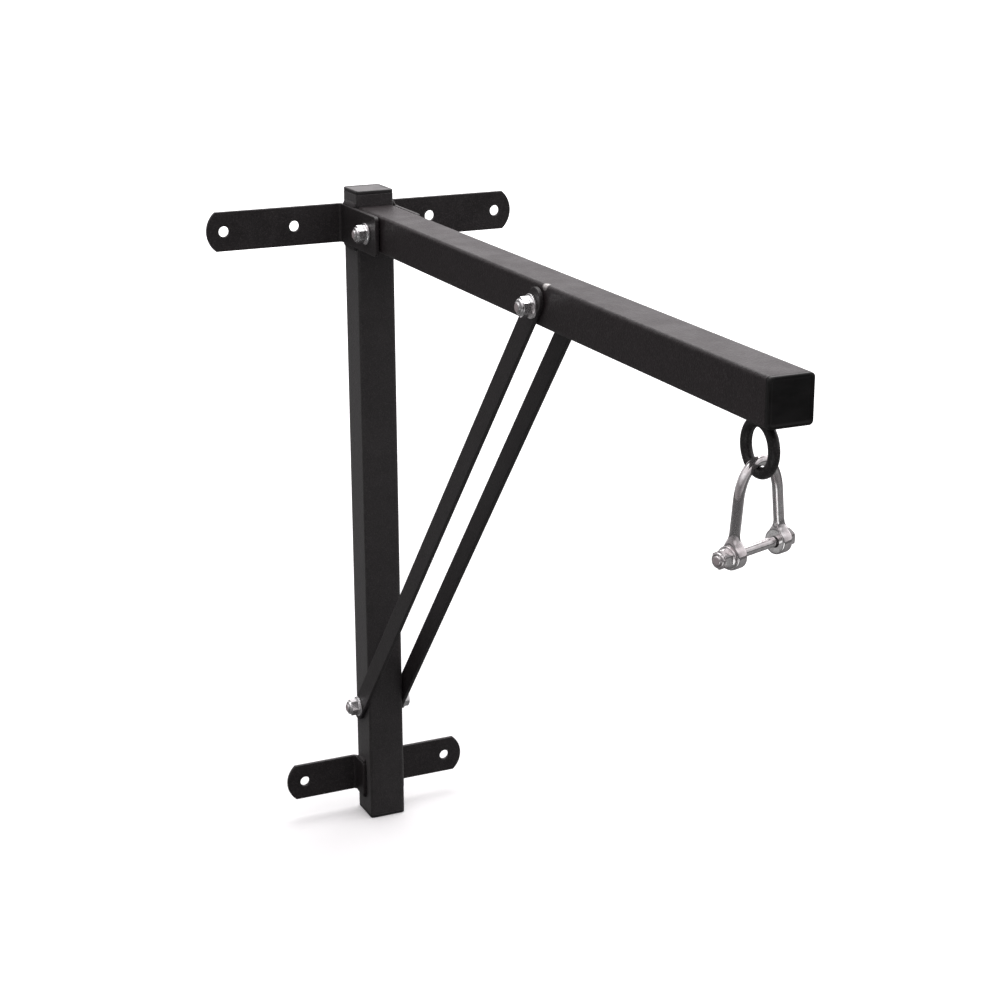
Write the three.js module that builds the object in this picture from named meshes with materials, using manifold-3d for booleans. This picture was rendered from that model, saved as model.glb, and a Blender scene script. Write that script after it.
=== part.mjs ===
// Wall bracket for a heavy punch bag, as an assembly of separate named pieces.
//
// Millimetres, Z up. The wall's face is the plane y = 0 and the arm reaches out of the wall along -Y.
// X runs along the wall. z = 0 is the centre line of the two upper wall plates.

import * as THREE from 'three';
import { mergeVertices } from 'three/addons/utils/BufferGeometryUtils.js';
import Module from 'manifold-3d';

const wasm = await Module();
wasm.setup();

// ---------------------------------------------------------------- driving sizes

const GAP = 0.3; // clearance kept between neighbouring pieces
const ARC = 3; // steps that give a corner six facets
const ROUND = 24; // facets round a pin or a bore
const CUT = 400; // length of a drill, longer than anything it goes through
const LEFT = -1;
const RIGHT = 1;

const post = { side: 40, wall: 2, corner: 3, top: 33, bottom: -659 };
const arm = { side: 38, wall: 2, corner: 3, centre: 2, rear: -41, front: -823 };
const cap = {
  rim: 3.6, bevel: 1, plugWall: 1.8, plugDepth: 15, plugSlack: 1.6, plugCorner: 1,
  fins: 3, fin: 1.2, finMargin: 2,
};

const flat = { thickness: 4, bend: 3 }; // the flat bar that the plates and struts are made of
const upperPlate = {
  height: 40, centre: 0, span: 168, reach: 101, screwHoles: [75, 150], boltAt: -76, bead: 5,
};
const lowerPlate = { height: 40, centre: -620, span: 104, reach: 28, screwHoles: [84], bead: 3.4 };
const plateTip = 26; // radius of a plate's rounded outer end
const plateCorner = 4; // radius of a flange's front corners
const screwHole = 11;
const plateWeld = { bow: 0.72, waist: 0.6, shortOfFront: 2 }; // bow and waist are shares of the bead's legs

const strut = { width: 22, overhang: 8 };
const strutTop = { y: -458, z: 0 };
const strutFoot = { y: -20, z: -534 };

const m10 = {
  shank: 10, hole: 10.8, flats: 16, head: 6.4, nutHex: 7, collar: 3, collarWidth: 14.4, tail: 1.6,
  washerWidth: 21.6, washer: 2,
};
const m8 = {
  shank: 8, hole: 8.9, flats: 13, head: 5.5, nutHex: 6.6, collar: 2.9, collarWidth: 12, tail: 1.2,
  washerWidth: 17, washer: 1.6,
};

const hexagonEnd = { face: 0.475, drop: 0.052 }; // chamfer of a hexagon's end, as shares of its width

const ring = { rod: 9, inner: 29, y: -788, sides: 14, steps: 44, bead: 4.2, beadLength: 15, beadRoot: 0.5 };
const shackle = {
  rod: 8, turn: 19, drop: 66, shoulder: 26, shoulderHalf: 22, eyeHalf: 25.5, eyeWidth: 19.5, eyeLength: 10,
  neck: 13, neckWidth: 12.4, neckDepth: 9.4, neckBase: 6, steps: 44, sides: 16,
};

// ---------------------------------------------------------------- colours

function paint(colour, roughness, metalness) {
  return () => new THREE.MeshStandardMaterial({ color: colour, roughness, metalness });
}

const blackPaint = paint(0x252223, 0.55, 0.1);
const blackPlastic = paint(0x151414, 0.45, 0);
const zinc = paint(0xc4c6c8, 0.3, 1);
const chrome = paint(0xd6d3d2, 0.12, 1);

// ---------------------------------------------------------------- solids

function solid(geometry) {
  const bare = geometry.clone();
  bare.deleteAttribute('normal');
  bare.deleteAttribute('uv');
  const merged = mergeVertices(bare, 1e-4);
  const mesh = new wasm.Mesh({
    numProp: 3,
    vertProperties: new Float32Array(merged.attributes.position.array),
    triVerts: new Uint32Array(merged.index.array),
  });
  return new wasm.Manifold(mesh);
}

function geometryOf(body) {
  const { vertProperties, triVerts } = body.getMesh();
  const indexed = new THREE.BufferGeometry();
  indexed.setAttribute('position', new THREE.BufferAttribute(vertProperties, 3));
  indexed.setIndex(new THREE.BufferAttribute(triVerts, 1));
  const faceted = indexed.toNonIndexed();
  faceted.computeVertexNormals();
  return faceted;
}

function extrude(shape, depth, curveSegments = ARC) {
  return new THREE.ExtrudeGeometry(shape, { depth, bevelEnabled: false, curveSegments });
}

// A round bar along X, centred on the origin.
function roundBar(width, length, segments = ROUND) {
  return new THREE.CylinderGeometry(width / 2, width / 2, length, segments).rotateZ(Math.PI / 2);
}

// A round bar along X whose two ends lie at the given places.
function roundBarBetween(width, from, to) {
  return roundBar(width, to - from).translate((from + to) / 2, 0, 0);
}

// A hexagonal bar along X with a corner pointing up, its far end chamfered to a circle.
function chamferedHexagon(flats, from, length) {
  const corner = flats / Math.sqrt(3);
  const bar = new THREE.CylinderGeometry(corner, corner, length, 6).rotateZ(Math.PI / 2);
  const beyond = corner * 1.02;
  const profile = [
    new THREE.Vector2(0, 0),
    new THREE.Vector2(beyond, 0),
    new THREE.Vector2(beyond, length - flats * hexagonEnd.drop),
    new THREE.Vector2(flats * hexagonEnd.face, length),
    new THREE.Vector2(0, length),
  ];
  const turned = new THREE.LatheGeometry(profile, ROUND).rotateZ(-Math.PI / 2).translate(-length / 2, 0, 0);
  return solid(bar).intersect(solid(turned)).translate([from + length / 2, 0, 0]);
}

function squareOutline(side, corner) {
  const inset = side / 2 - corner;
  const shape = new THREE.Shape();
  shape.absarc(inset, -inset, corner, -Math.PI / 2, 0, false);
  shape.absarc(inset, inset, corner, 0, Math.PI / 2, false);
  shape.absarc(-inset, inset, corner, Math.PI / 2, Math.PI, false);
  shape.absarc(-inset, -inset, corner, Math.PI, Math.PI * 1.5, false);
  shape.closePath();
  return shape;
}

// A square tube along +Z from the origin.
function squareTube({ side, wall, corner }, length) {
  const section = squareOutline(side, corner);
  section.holes.push(squareOutline(side - 2 * wall, corner - wall));
  return solid(extrude(section, length));
}

// Drills a hole along X at a place in the YZ plane.
function drillAcross(body, width, y, z) {
  return body.subtract(solid(roundBar(width, CUT).translate(0, y, z)));
}

// Drills a hole along Y at a place in the XZ plane.
function drillThrough(body, width, x, z) {
  const drill = new THREE.CylinderGeometry(width / 2, width / 2, CUT, ROUND);
  return body.subtract(solid(drill.translate(x, 0, z)));
}

// ---------------------------------------------------------------- scene

const bracket = new THREE.Group();

function add(parent, name, body, material) {
  const mesh = new THREE.Mesh(body.isBufferGeometry ? body : geometryOf(body), material());
  mesh.name = name;
  parent.add(mesh);
  return mesh;
}

// ---------------------------------------------------------------- tubes and their caps

function addPost() {
  const tube = squareTube(post, post.top - post.bottom);
  const drilled = drillAcross(tube, m10.hole, 0, strutFoot.z - post.bottom);
  add(bracket, 'post_tube', drilled, blackPaint).position.set(0, -post.side / 2, post.bottom);
}

function addArm() {
  const tube = squareTube(arm, arm.rear - arm.front);
  const boltPlaces = [{ y: upperPlate.boltAt, z: upperPlate.centre }, strutTop];
  let drilled = tube;
  for (const place of boltPlaces) {
    drilled = drillAcross(drilled, m10.hole, place.z - arm.centre, arm.rear - place.y);
  }
  const mesh = add(bracket, 'arm_tube', drilled, blackPaint);
  mesh.rotation.x = Math.PI / 2;
  mesh.position.set(0, arm.rear, arm.centre);
}

// A plastic cap: a rim that sits on the tube's end at z = 0 and a hollow plug with fins below it.
function tubeCap(tube) {
  const inner = tube.side - 2 * tube.wall;
  const outline = squareOutline(tube.side, tube.corner);
  const rim = new THREE.ExtrudeGeometry(outline, {
    depth: cap.rim - 2 * cap.bevel,
    bevelThickness: cap.bevel,
    bevelSize: cap.bevel,
    bevelOffset: -cap.bevel,
    bevelSegments: 2,
    curveSegments: ARC,
  }).translate(0, 0, cap.bevel + GAP);
  const plugSide = inner - 2 * cap.plugSlack;
  const plugOutline = squareOutline(plugSide, cap.plugCorner);
  plugOutline.holes.push(squareOutline(plugSide - 2 * cap.plugWall, cap.plugCorner / 2));
  const plug = extrude(plugOutline, cap.plugDepth + cap.bevel, 1).translate(0, 0, -cap.plugDepth);
  let body = solid(rim).add(solid(plug));
  const finOutline = squareOutline(inner - 2 * GAP, cap.plugCorner);
  finOutline.holes.push(squareOutline(plugSide - cap.plugWall / 2, cap.plugCorner / 2));
  const pitch = (cap.plugDepth - 2 * cap.finMargin) / (cap.fins - 1);
  for (let i = 0; i < cap.fins; i += 1) {
    const level = cap.finMargin - cap.plugDepth + i * pitch;
    body = body.add(solid(extrude(finOutline, cap.fin, 1).translate(0, 0, level - cap.fin / 2)));
  }
  return body;
}

function addCaps() {
  const postCap = geometryOf(tubeCap(post));
  add(bracket, 'post_top_cap', postCap, blackPlastic).position.set(0, -post.side / 2, post.top);
  const footCap = add(bracket, 'post_bottom_cap', postCap, blackPlastic);
  footCap.position.set(0, -post.side / 2, post.bottom);
  footCap.rotation.x = Math.PI;
  const armCap = add(bracket, 'arm_end_cap', tubeCap(arm), blackPlastic);
  armCap.position.set(0, arm.front, arm.centre);
  armCap.rotation.x = Math.PI / 2;
}

// ---------------------------------------------------------------- wall plates

// The bent bar seen from above: a wing on the wall and a flange along the post's side.
function platePlan({ span, reach }) {
  const inner = post.side / 2 + GAP;
  const outer = inner + flat.thickness;
  const bendX = outer + flat.bend;
  const bendY = -(flat.thickness + flat.bend);
  const plan = new THREE.Shape();
  plan.moveTo(bendX, 0);
  plan.lineTo(span, 0);
  plan.lineTo(span, -flat.thickness);
  plan.lineTo(bendX, -flat.thickness);
  plan.absarc(bendX, bendY, flat.bend, Math.PI / 2, Math.PI, false);
  plan.lineTo(outer, -reach);
  plan.lineTo(inner, -reach);
  plan.absarc(bendX, bendY, flat.bend + flat.thickness, Math.PI, Math.PI / 2, true);
  plan.closePath();
  return plan;
}

// The wing seen from the front, with its rounded tip.
function wingFront({ span, height }) {
  const half = height / 2;
  const spread = Math.asin(half / plateTip);
  const front = new THREE.Shape();
  front.moveTo(0, half);
  front.lineTo(0, -half);
  front.absarc(span - plateTip, 0, plateTip, -spread, spread, false);
  front.closePath();
  return front;
}

// The flange seen from its side, with its two front corners rounded. X here is the world's -Y.
function flangeSide({ reach, height }) {
  const half = height / 2;
  const side = new THREE.Shape();
  side.moveTo(-1, half);
  side.lineTo(-1, -half);
  side.absarc(reach - plateCorner, plateCorner - half, plateCorner, -Math.PI / 2, 0, false);
  side.absarc(reach - plateCorner, half - plateCorner, plateCorner, 0, Math.PI / 2, false);
  side.closePath();
  return side;
}

function wallPlate(spec) {
  const bar = extrude(platePlan(spec), spec.height).translate(0, 0, -spec.height / 2);
  const wing = extrude(wingFront(spec), spec.reach + 2).rotateX(Math.PI / 2).translate(0, 1, 0);
  const flange = extrude(flangeSide(spec), spec.span + 1).rotateX(Math.PI / 2).rotateZ(-Math.PI / 2);
  flange.translate(spec.span + 1, 0, 0);
  let body = solid(bar).intersect(solid(wing)).intersect(solid(flange));
  for (const x of spec.screwHoles) {
    body = drillThrough(body, screwHole, x, 0);
  }
  if (spec.boltAt) {
    body = drillAcross(body, m10.hole, spec.boltAt, 0);
  }
  return body;
}

// A fillet of weld metal in the corner between a plate's edge and the post's side.
function plateBead({ height, reach, bead }, side, level) {
  const x = side * (post.side / 2 + GAP);
  const z = level * (height / 2 + GAP);
  const width = flat.thickness - GAP;
  const section = new THREE.Shape();
  section.moveTo(x, z);
  section.lineTo(x + side * width, z);
  const bowX = x + side * width * plateWeld.bow;
  const bowZ = z + level * bead * plateWeld.waist;
  section.quadraticCurveTo(bowX, bowZ, x, z + level * bead);
  section.closePath();
  const rear = flat.thickness + flat.bend;
  const length = Math.min(post.side, reach) - rear - plateWeld.shortOfFront;
  return solid(extrude(section, length).rotateX(Math.PI / 2).translate(0, -rear, 0));
}

function addPlates(level, spec) {
  for (const [sideName, side] of [['left', LEFT], ['right', RIGHT]]) {
    const rightHand = wallPlate(spec);
    const body = side === LEFT ? rightHand.mirror([1, 0, 0]) : rightHand;
    add(bracket, `${level}_plate_${sideName}`, body, blackPaint).position.z = spec.centre;
    for (const [edgeName, edge] of [['top', 1], ['bottom', -1]]) {
      const name = `${level}_weld_${sideName}_${edgeName}`;
      add(bracket, name, plateBead(spec, side, edge), blackPaint).position.z = spec.centre;
    }
  }
}

// ---------------------------------------------------------------- struts

// A strut stands on its foot bolt's centre and runs up along +Z, its inner face on x = 0.
function strutBar(length) {
  const radius = strut.width / 2;
  const outline = new THREE.Shape();
  outline.absarc(0, -strut.overhang, radius, Math.PI, 2 * Math.PI, false);
  outline.absarc(0, length + strut.overhang, radius, 0, Math.PI, false);
  outline.closePath();
  const bar = extrude(outline, flat.thickness, 2 * ARC).rotateX(Math.PI / 2).rotateZ(Math.PI / 2);
  return drillAcross(drillAcross(solid(bar), m10.hole, 0, 0), m10.hole, 0, length);
}

// The struts lie on the post's sides at the foot and on the narrower arm's sides at the top.
function addStruts() {
  const rise = strutTop.z - strutFoot.z;
  const forward = strutFoot.y - strutTop.y;
  const length = Math.hypot(rise, forward);
  const toeIn = Math.atan2((post.side - arm.side) / 2, length);
  for (const [sideName, side] of [['left', LEFT], ['right', RIGHT]]) {
    const body = strutBar(length);
    const lean = new THREE.Group();
    lean.rotation.x = Math.atan2(forward, rise);
    lean.position.set(side * (post.side / 2 + GAP), strutFoot.y, strutFoot.z);
    const mesh = add(lean, `strut_${sideName}`, side === LEFT ? body.mirror([1, 0, 0]) : body, blackPaint);
    mesh.rotation.y = -side * toeIn;
    bracket.add(lean);
  }
}

// ---------------------------------------------------------------- bolts

function hexBolt(size, underHead, tailEnd) {
  const head = chamferedHexagon(size.flats, underHead, size.head);
  return head.add(solid(roundBarBetween(size.shank, tailEnd, underHead + 1)));
}

function plainWasher(size) {
  const outline = new THREE.Shape();
  outline.absarc(0, 0, size.washerWidth / 2, 0, 2 * Math.PI, false);
  const bore = new THREE.Path();
  bore.absarc(0, 0, size.shank / 2 + GAP, 0, 2 * Math.PI, false);
  outline.holes.push(bore);
  const disc = extrude(outline, size.washer, ROUND / 2);
  return disc.rotateY(Math.PI / 2).translate(-size.washer / 2, 0, 0);
}

// A lock nut along -X from its seat: a hexagon, then the round collar that holds its nylon ring.
function lockNut(size) {
  const hexagon = chamferedHexagon(size.flats, 0, size.nutHex).mirror([1, 0, 0]);
  const height = size.nutHex + size.collar;
  const collar = solid(roundBarBetween(size.collarWidth, -height, -size.nutHex + 1));
  return hexagon.add(collar).subtract(solid(roundBarBetween(size.shank + 2 * GAP, -height - 1, 1)));
}

// A bolt along X through a stack of the given half width: head and washer right, washer and nut left.
function addThroughBolt(parent, name, size, halfStack) {
  const washerAt = halfStack + GAP + size.washer / 2;
  const seat = halfStack + 2 * GAP + size.washer;
  const tailEnd = -(seat + size.nutHex + size.collar + size.tail);
  add(parent, `${name}_bolt`, hexBolt(size, seat, tailEnd), zinc);
  add(parent, `${name}_washer_left`, plainWasher(size), zinc).position.x = -washerAt;
  add(parent, `${name}_washer_right`, plainWasher(size), zinc).position.x = washerAt;
  add(parent, `${name}_nut`, lockNut(size), zinc).position.x = -seat;
}

function addFrameBolts() {
  const postStack = post.side / 2 + GAP + flat.thickness;
  const armStack = arm.side / 2 + GAP + flat.thickness;
  const bolts = [
    { name: 'rear', y: upperPlate.boltAt, z: upperPlate.centre, stack: postStack, turn: 0 },
    { name: 'strut', y: strutTop.y, z: strutTop.z, stack: armStack, turn: 0 },
    { name: 'foot', y: strutFoot.y, z: strutFoot.z, stack: postStack, turn: Math.PI / 6 },
  ];
  for (const { name, y, z, stack, turn } of bolts) {
    const place = new THREE.Group();
    place.position.set(0, y, z);
    place.rotation.x = turn;
    addThroughBolt(place, name, m10, stack);
    bracket.add(place);
  }
}

// ---------------------------------------------------------------- ring

const ringRadius = (ring.inner + ring.rod) / 2;
const armUnderside = arm.centre - arm.side / 2;
const ringCentre = armUnderside - GAP - ringRadius - ring.rod / 2;

function torus(rod) {
  return new THREE.TorusGeometry(ringRadius, rod / 2, ring.sides, ring.steps).rotateY(Math.PI / 2);
}

// A fillet of weld metal between the ring's shoulder and the arm's underside.
function ringBead(side) {
  const top = armUnderside - GAP;
  const section = new THREE.Shape();
  section.moveTo(side, top);
  section.lineTo(side * (ring.rod / 2 + ring.bead), top);
  section.lineTo(side * (ring.rod / 2 - ring.beadRoot), top - ring.bead);
  section.lineTo(side, top - ring.bead / 2);
  section.closePath();
  const rough = extrude(section, ring.beadLength).rotateX(Math.PI / 2).translate(0, ring.beadLength / 2, 0);
  const clear = solid(torus(ring.rod + 2 * GAP).translate(0, 0, ringCentre));
  return solid(rough).subtract(clear);
}

function addRing() {
  add(bracket, 'hang_ring', torus(ring.rod), blackPaint).position.set(0, ring.y, ringCentre);
  for (const [sideName, side] of [['left', LEFT], ['right', RIGHT]]) {
    add(bracket, `ring_weld_${sideName}`, ringBead(side), blackPaint).position.y = ring.y;
  }
}

// ---------------------------------------------------------------- shackle

// The bow's centre line, from the left eye up over the crown at the origin and down to the right eye.
function bowLine() {
  const { drop, shoulder, shoulderHalf, eyeHalf, eyeWidth } = shackle;
  const pull = 0.5523; // makes a cubic curve follow a quarter of an ellipse
  const lean = 0.93; // draws the curve in at the shoulders, because the legs spread
  const at = (x, z) => new THREE.Vector3(x, 0, z);
  const eye = drop - eyeWidth / 4;
  const line = new THREE.CurvePath();
  line.add(new THREE.LineCurve3(at(-eyeHalf, -eye), at(-shoulderHalf, -shoulder)));
  line.add(new THREE.CubicBezierCurve3(
    at(-shoulderHalf, -shoulder),
    at(-shoulderHalf * lean, -shoulder * (1 - pull)),
    at(-shoulderHalf * pull, 0),
    at(0, 0),
  ));
  line.add(new THREE.CubicBezierCurve3(
    at(0, 0),
    at(shoulderHalf * pull, 0),
    at(shoulderHalf * lean, -shoulder * (1 - pull)),
    at(shoulderHalf, -shoulder),
  ));
  line.add(new THREE.LineCurve3(at(shoulderHalf, -shoulder), at(eyeHalf, -eye)));
  return line;
}

function shackleBow() {
  const { rod, drop, eyeHalf, eyeWidth, eyeLength, neck, neckWidth, neckDepth, neckBase } = shackle;
  const section = new THREE.Shape();
  section.absarc(0, 0, rod / 2, 0, 2 * Math.PI, false);
  const sweep = {
    steps: shackle.steps, curveSegments: shackle.sides / 2, bevelEnabled: false, extrudePath: bowLine(),
  };
  let body = solid(new THREE.ExtrudeGeometry(section, sweep));
  for (const side of [LEFT, RIGHT]) {
    const taper = new THREE.CylinderGeometry(rod / 2, neckWidth / 2, neck, ROUND).rotateX(Math.PI / 2);
    taper.scale(neckDepth / neckWidth, 1, 1);
    body = body.add(solid(taper.translate(side * eyeHalf, 0, neckBase - drop + neck / 2)));
    body = body.add(solid(roundBar(eyeWidth, eyeLength, 1.5 * ROUND).translate(side * eyeHalf, 0, -drop)));
  }
  return drillAcross(body, m8.hole, 0, -drop);
}

// The crown rests on the ring's lowest point, inside the ring.
function addShackle() {
  const place = new THREE.Group();
  const crown = ringCentre - ring.inner / 2 + GAP + shackle.rod / 2;
  place.position.set(0, ring.y, crown);
  place.rotation.z = THREE.MathUtils.degToRad(shackle.turn);
  add(place, 'shackle_bow', shackleBow(), chrome);
  const pinLine = new THREE.Group();
  pinLine.position.z = -shackle.drop;
  addThroughBolt(pinLine, 'pin', m8, shackle.eyeHalf + shackle.eyeLength / 2);
  place.add(pinLine);
  bracket.add(place);
}

// ---------------------------------------------------------------- assembly

addPost();
addPlates('upper', upperPlate);
addPlates('lower', lowerPlate);
addArm();
addCaps();
addStruts();
addFrameBolts();
addRing();
addShackle();

export default bracket;
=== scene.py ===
import math

import bmesh
import bpy
from mathutils import Matrix, Vector, noise


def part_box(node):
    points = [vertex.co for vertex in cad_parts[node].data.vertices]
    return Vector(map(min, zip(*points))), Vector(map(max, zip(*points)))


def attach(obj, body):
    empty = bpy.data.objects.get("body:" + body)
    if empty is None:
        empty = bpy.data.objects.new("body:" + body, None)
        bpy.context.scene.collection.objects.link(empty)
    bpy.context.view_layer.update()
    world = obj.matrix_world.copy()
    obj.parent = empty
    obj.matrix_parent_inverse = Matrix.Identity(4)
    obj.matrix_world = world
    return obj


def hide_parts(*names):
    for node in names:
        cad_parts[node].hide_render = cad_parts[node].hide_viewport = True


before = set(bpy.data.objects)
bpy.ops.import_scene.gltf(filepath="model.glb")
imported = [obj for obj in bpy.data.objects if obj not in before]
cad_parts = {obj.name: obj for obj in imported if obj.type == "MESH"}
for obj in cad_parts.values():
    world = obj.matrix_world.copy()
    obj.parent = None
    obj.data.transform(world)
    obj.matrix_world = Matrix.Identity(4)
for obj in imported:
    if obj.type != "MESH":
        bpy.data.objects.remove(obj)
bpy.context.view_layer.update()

MM = 0.001
GAP = 0.3 * MM
BRACKET, SHACKLE, PIN = "bracket", "shackle", "shackle_pin"
SIDES = {"left": -1, "right": 1}
EDGES = {"top": 1, "bottom": -1}

# ------------------------------------------------------------------ sizes that the boxes don't tell

TUBE_WALL = 2 * MM
TUBE_CORNER = 3 * MM
TUBE_RIM = 0.3 * MM
DRILL_LENGTH = 0.2  # longer than anything it goes through
CAP_CORNER = 3.4 * MM
CAP_ROUND = 1.1 * MM

BAR = 4 * MM  # thickness of the plates and struts
BAR_RIM = 0.55 * MM
BEND_INSIDE = 3 * MM
PLATE_TIP = 26 * MM
PLATE_CORNER = 4 * MM
SCREW_HOLE = 11 * MM
SCREW_PLACES = {"upper": (75 * MM, 150 * MM), "lower": (84 * MM,)}
STRUT_WIDTH = 22 * MM
STRUT_OVERHANG = 8 * MM

BEAD_PITCH = 1.7 * MM  # from one ripple of a weld to the next
BEAD_STEPS = 6
BEAD_SIDES = 10
BEAD_BULGE = 0.55

# bolt sizes in millimetres: the collar is the lock nut's round end
M10 = {"shank": 10, "pitch": 1.5, "hole": 10.8, "flats": 16, "head": 6.4,
       "collar": 3, "collar_width": 14.4, "washer_width": 21.6}
M8 = {"shank": 8, "pitch": 1.25, "hole": 8.9, "flats": 13, "head": 5.5,
      "collar": 2.9, "collar_width": 12, "washer_width": 17}
CUT_END = 1.0  # wear value that marks the dull, unplated end of a bolt
PIN_TURN = math.radians(19)  # how far the shackle hangs turned about the vertical

RING_ROD = 9 * MM
RING_STEPS, RING_SIDES = 112, 32
RING_UNEVEN = 0.07 * MM
BOW_ROD = 8 * MM
BOW_DROP = 66 * MM  # from the crown's centre line down to the pin
BOW_SHOULDER = Vector((22 * MM, -26 * MM))
NECK_HALF_WIDTH = 5.9 * MM
NECK_TOP = 11 * MM  # above the pin
EYE_HALF = 25.5 * MM  # from the middle to each eye
EYE_RADIUS = 9.75 * MM
EYE_HALF_LENGTH = 5 * MM
EYE_SOFT = 1.1 * MM  # rounding of the eye's lowest edge


# ------------------------------------------------------------------ light levels and camera

QUARTERS = {
    "back_right": (1, 1, 0),
    "back_left": (-1, 1, 0),
    "front_right": (1, -1, 0),
    "front_left": (-1, -1, 0),
}
FLOOR_GREY = (0.06, 0.06, 0.06, 1)
FLOOR_GLOW = {"back_right": 0.10, "back_left": 0.155, "front_right": 0.165, "front_left": 0.05}
WORLD_BAND = {"back_right": 1.5, "back_left": 0.28, "front_right": 0.41, "front_left": 0.15}
LEFT_GLOW = ((-1, -0.02, 0), 40, 12, 0.2)  # direction, outer and inner half angle in degrees, level
FRONT_GLOW = ((-0.52, -0.85, 0), 15, 5, 1.1)
GLOW_RANGE = (1.3, 1.6, 2.9, 3.4)  # how far from the frame's origin the two narrow glows rise and fade
WORLD_ABOVE = 0.912
WORLD_TINT = (1.03, 0.988, 1.008, 1)
OVERHEAD = {"centre": (0.5, 0.4, 2.4), "aim": (0, -0.2, -0.5), "side": 2.6, "power": 71}

CAMERA_PLACE = (-0.75918, -1.99901, 0.36610)
CAMERA_HEADING, CAMERA_DIP, CAMERA_ROLL = -24.62, 17.465, -0.19  # degrees
CAMERA_LENS = 74.331


# ------------------------------------------------------------------ outlines

def arc(centre, radius, start, end, steps, wear=0.0):
    """Points of an arc between two angles in degrees, each with its amount of edge wear."""
    points = []
    for i in range(steps + 1):
        angle = math.radians(start + (end - start) * i / steps)
        outward = Vector((math.cos(angle), math.sin(angle)))
        points.append((Vector(centre) + outward * radius, wear))
    return points


def rounded_square(side, corner, steps=8, fade=1.5 * MM, wear=1.0):
    """Anticlockwise square outline whose corners are worn and whose sides aren't."""
    middle = side / 2 - corner
    points = []
    for quarter in range(4):
        turn = Matrix.Rotation(math.radians(90 * quarter), 2)
        piece = [(Vector((side / 2, middle - fade)), 0.0)]
        piece += arc((middle, middle), corner, 0, 90, steps, wear)
        piece += [(Vector((middle - fade, side / 2)), 0.0)]
        points += [(turn @ point, amount) for point, amount in piece]
    return points


def circle(centre, radius, steps=48):
    return arc(centre, radius, 0, 360, steps)[:-1]


def inset(outline, distance):
    """Move a closed outline towards the material on its left."""
    moved = []
    for i, (here, wear) in enumerate(outline):
        along = (here - outline[i - 1][0]).normalized()
        onward = (outline[(i + 1) % len(outline)][0] - here).normalized()
        left, next_left = Vector((-along.y, along.x)), Vector((-onward.y, onward.x))
        mitre = (left + next_left) / (1 + left.dot(next_left))
        moved.append((here + mitre * distance, wear))
    return moved


# ------------------------------------------------------------------ solids

def new_shape():
    shape = bmesh.new()
    shape.verts.layers.float.new("edge")
    return shape


def add_loop(shape, points):
    """Vertices for (place, wear) pairs."""
    layer = shape.verts.layers.float["edge"]
    loop = []
    for place, wear in points:
        vert = shape.verts.new(place)
        vert[layer] = wear
        loop.append(vert)
    return loop


def skin(shape, lower, upper):
    """Quads between two loops of the same length."""
    for i in range(len(lower)):
        shape.faces.new((lower[i - 1], lower[i], upper[i], upper[i - 1]))


def loft(shape, rows, ring=False):
    """Skin a stack of loops. A ring joins the last loop to the first; otherwise both ends are closed."""
    loops = [add_loop(shape, row) for row in rows]
    for lower, upper in zip(loops, loops[1:]):
        skin(shape, lower, upper)
    if ring:
        skin(shape, loops[-1], loops[0])
    else:
        shape.faces.new(list(reversed(loops[0])))
        shape.faces.new(loops[-1])


def prism(shape, outlines, height, rim, fade):
    """Extrude flat outlines along Z with rounded, worn rims. Holes are outlines that run clockwise."""
    lower_rim = [(rim + fade, 0.0, 0.0)]
    for angle in (0, 30, 60, 90):
        lean = math.radians(angle)
        lower_rim.append((rim * (1 - math.sin(lean)), rim * (1 - math.cos(lean)), 1.0))
    sides = [(0.0, rim + fade, 0.0), (0.0, height - rim - fade, 0.0)]
    if sides[0][1] >= sides[1][1]:
        sides = [(0.0, height / 2, 0.3)]
    levels = lower_rim + sides + [(depth, height - z, wear) for depth, z, wear in reversed(lower_rim)]
    ends = ([], [])
    for outline in outlines:
        loops = []
        for depth, z, wear in levels:
            points = [((p.x, p.y, z), max(wear, w)) for p, w in inset(outline, depth)]
            loops.append(add_loop(shape, points))
        for lower, upper in zip(loops, loops[1:]):
            skin(shape, lower, upper)
        for loop, edges in zip((loops[0], loops[-1]), ends):
            edges += [shape.edges.get((loop[i - 1], loop[i])) for i in range(len(loop))]
    for edges in ends:
        bmesh.ops.triangle_fill(shape, use_beauty=True, edges=edges)


def turned(shape, rows, place, columns=48, ring=False):
    """Revolve rows of (radius, x, wear) about X. A radius or an x may be a function of the angle."""
    loops = []
    for radius, x, wear in rows:
        loop = []
        for i in range(columns):
            angle = 2 * math.pi * i / columns
            r = radius(angle) if callable(radius) else radius
            along = x(angle) if callable(x) else x
            loop.append((place @ Vector((along, r * math.cos(angle), r * math.sin(angle))), wear))
        loops.append(loop)
    loft(shape, loops, ring)


def drilled(shape, width, centre, axis):
    """The shape with a round hole right through it along an axis."""
    cutter = bmesh.new()
    size = {"radius1": width / 2, "radius2": width / 2, "depth": DRILL_LENGTH}
    bmesh.ops.create_cone(cutter, cap_ends=True, segments=48, **size)
    turn = Vector((0, 0, 1)).rotation_difference(Vector(axis)).to_matrix().to_4x4()
    cutter.transform(Matrix.Translation(centre) @ turn)
    return combined(shape, cutter, "DIFFERENCE")


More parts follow.
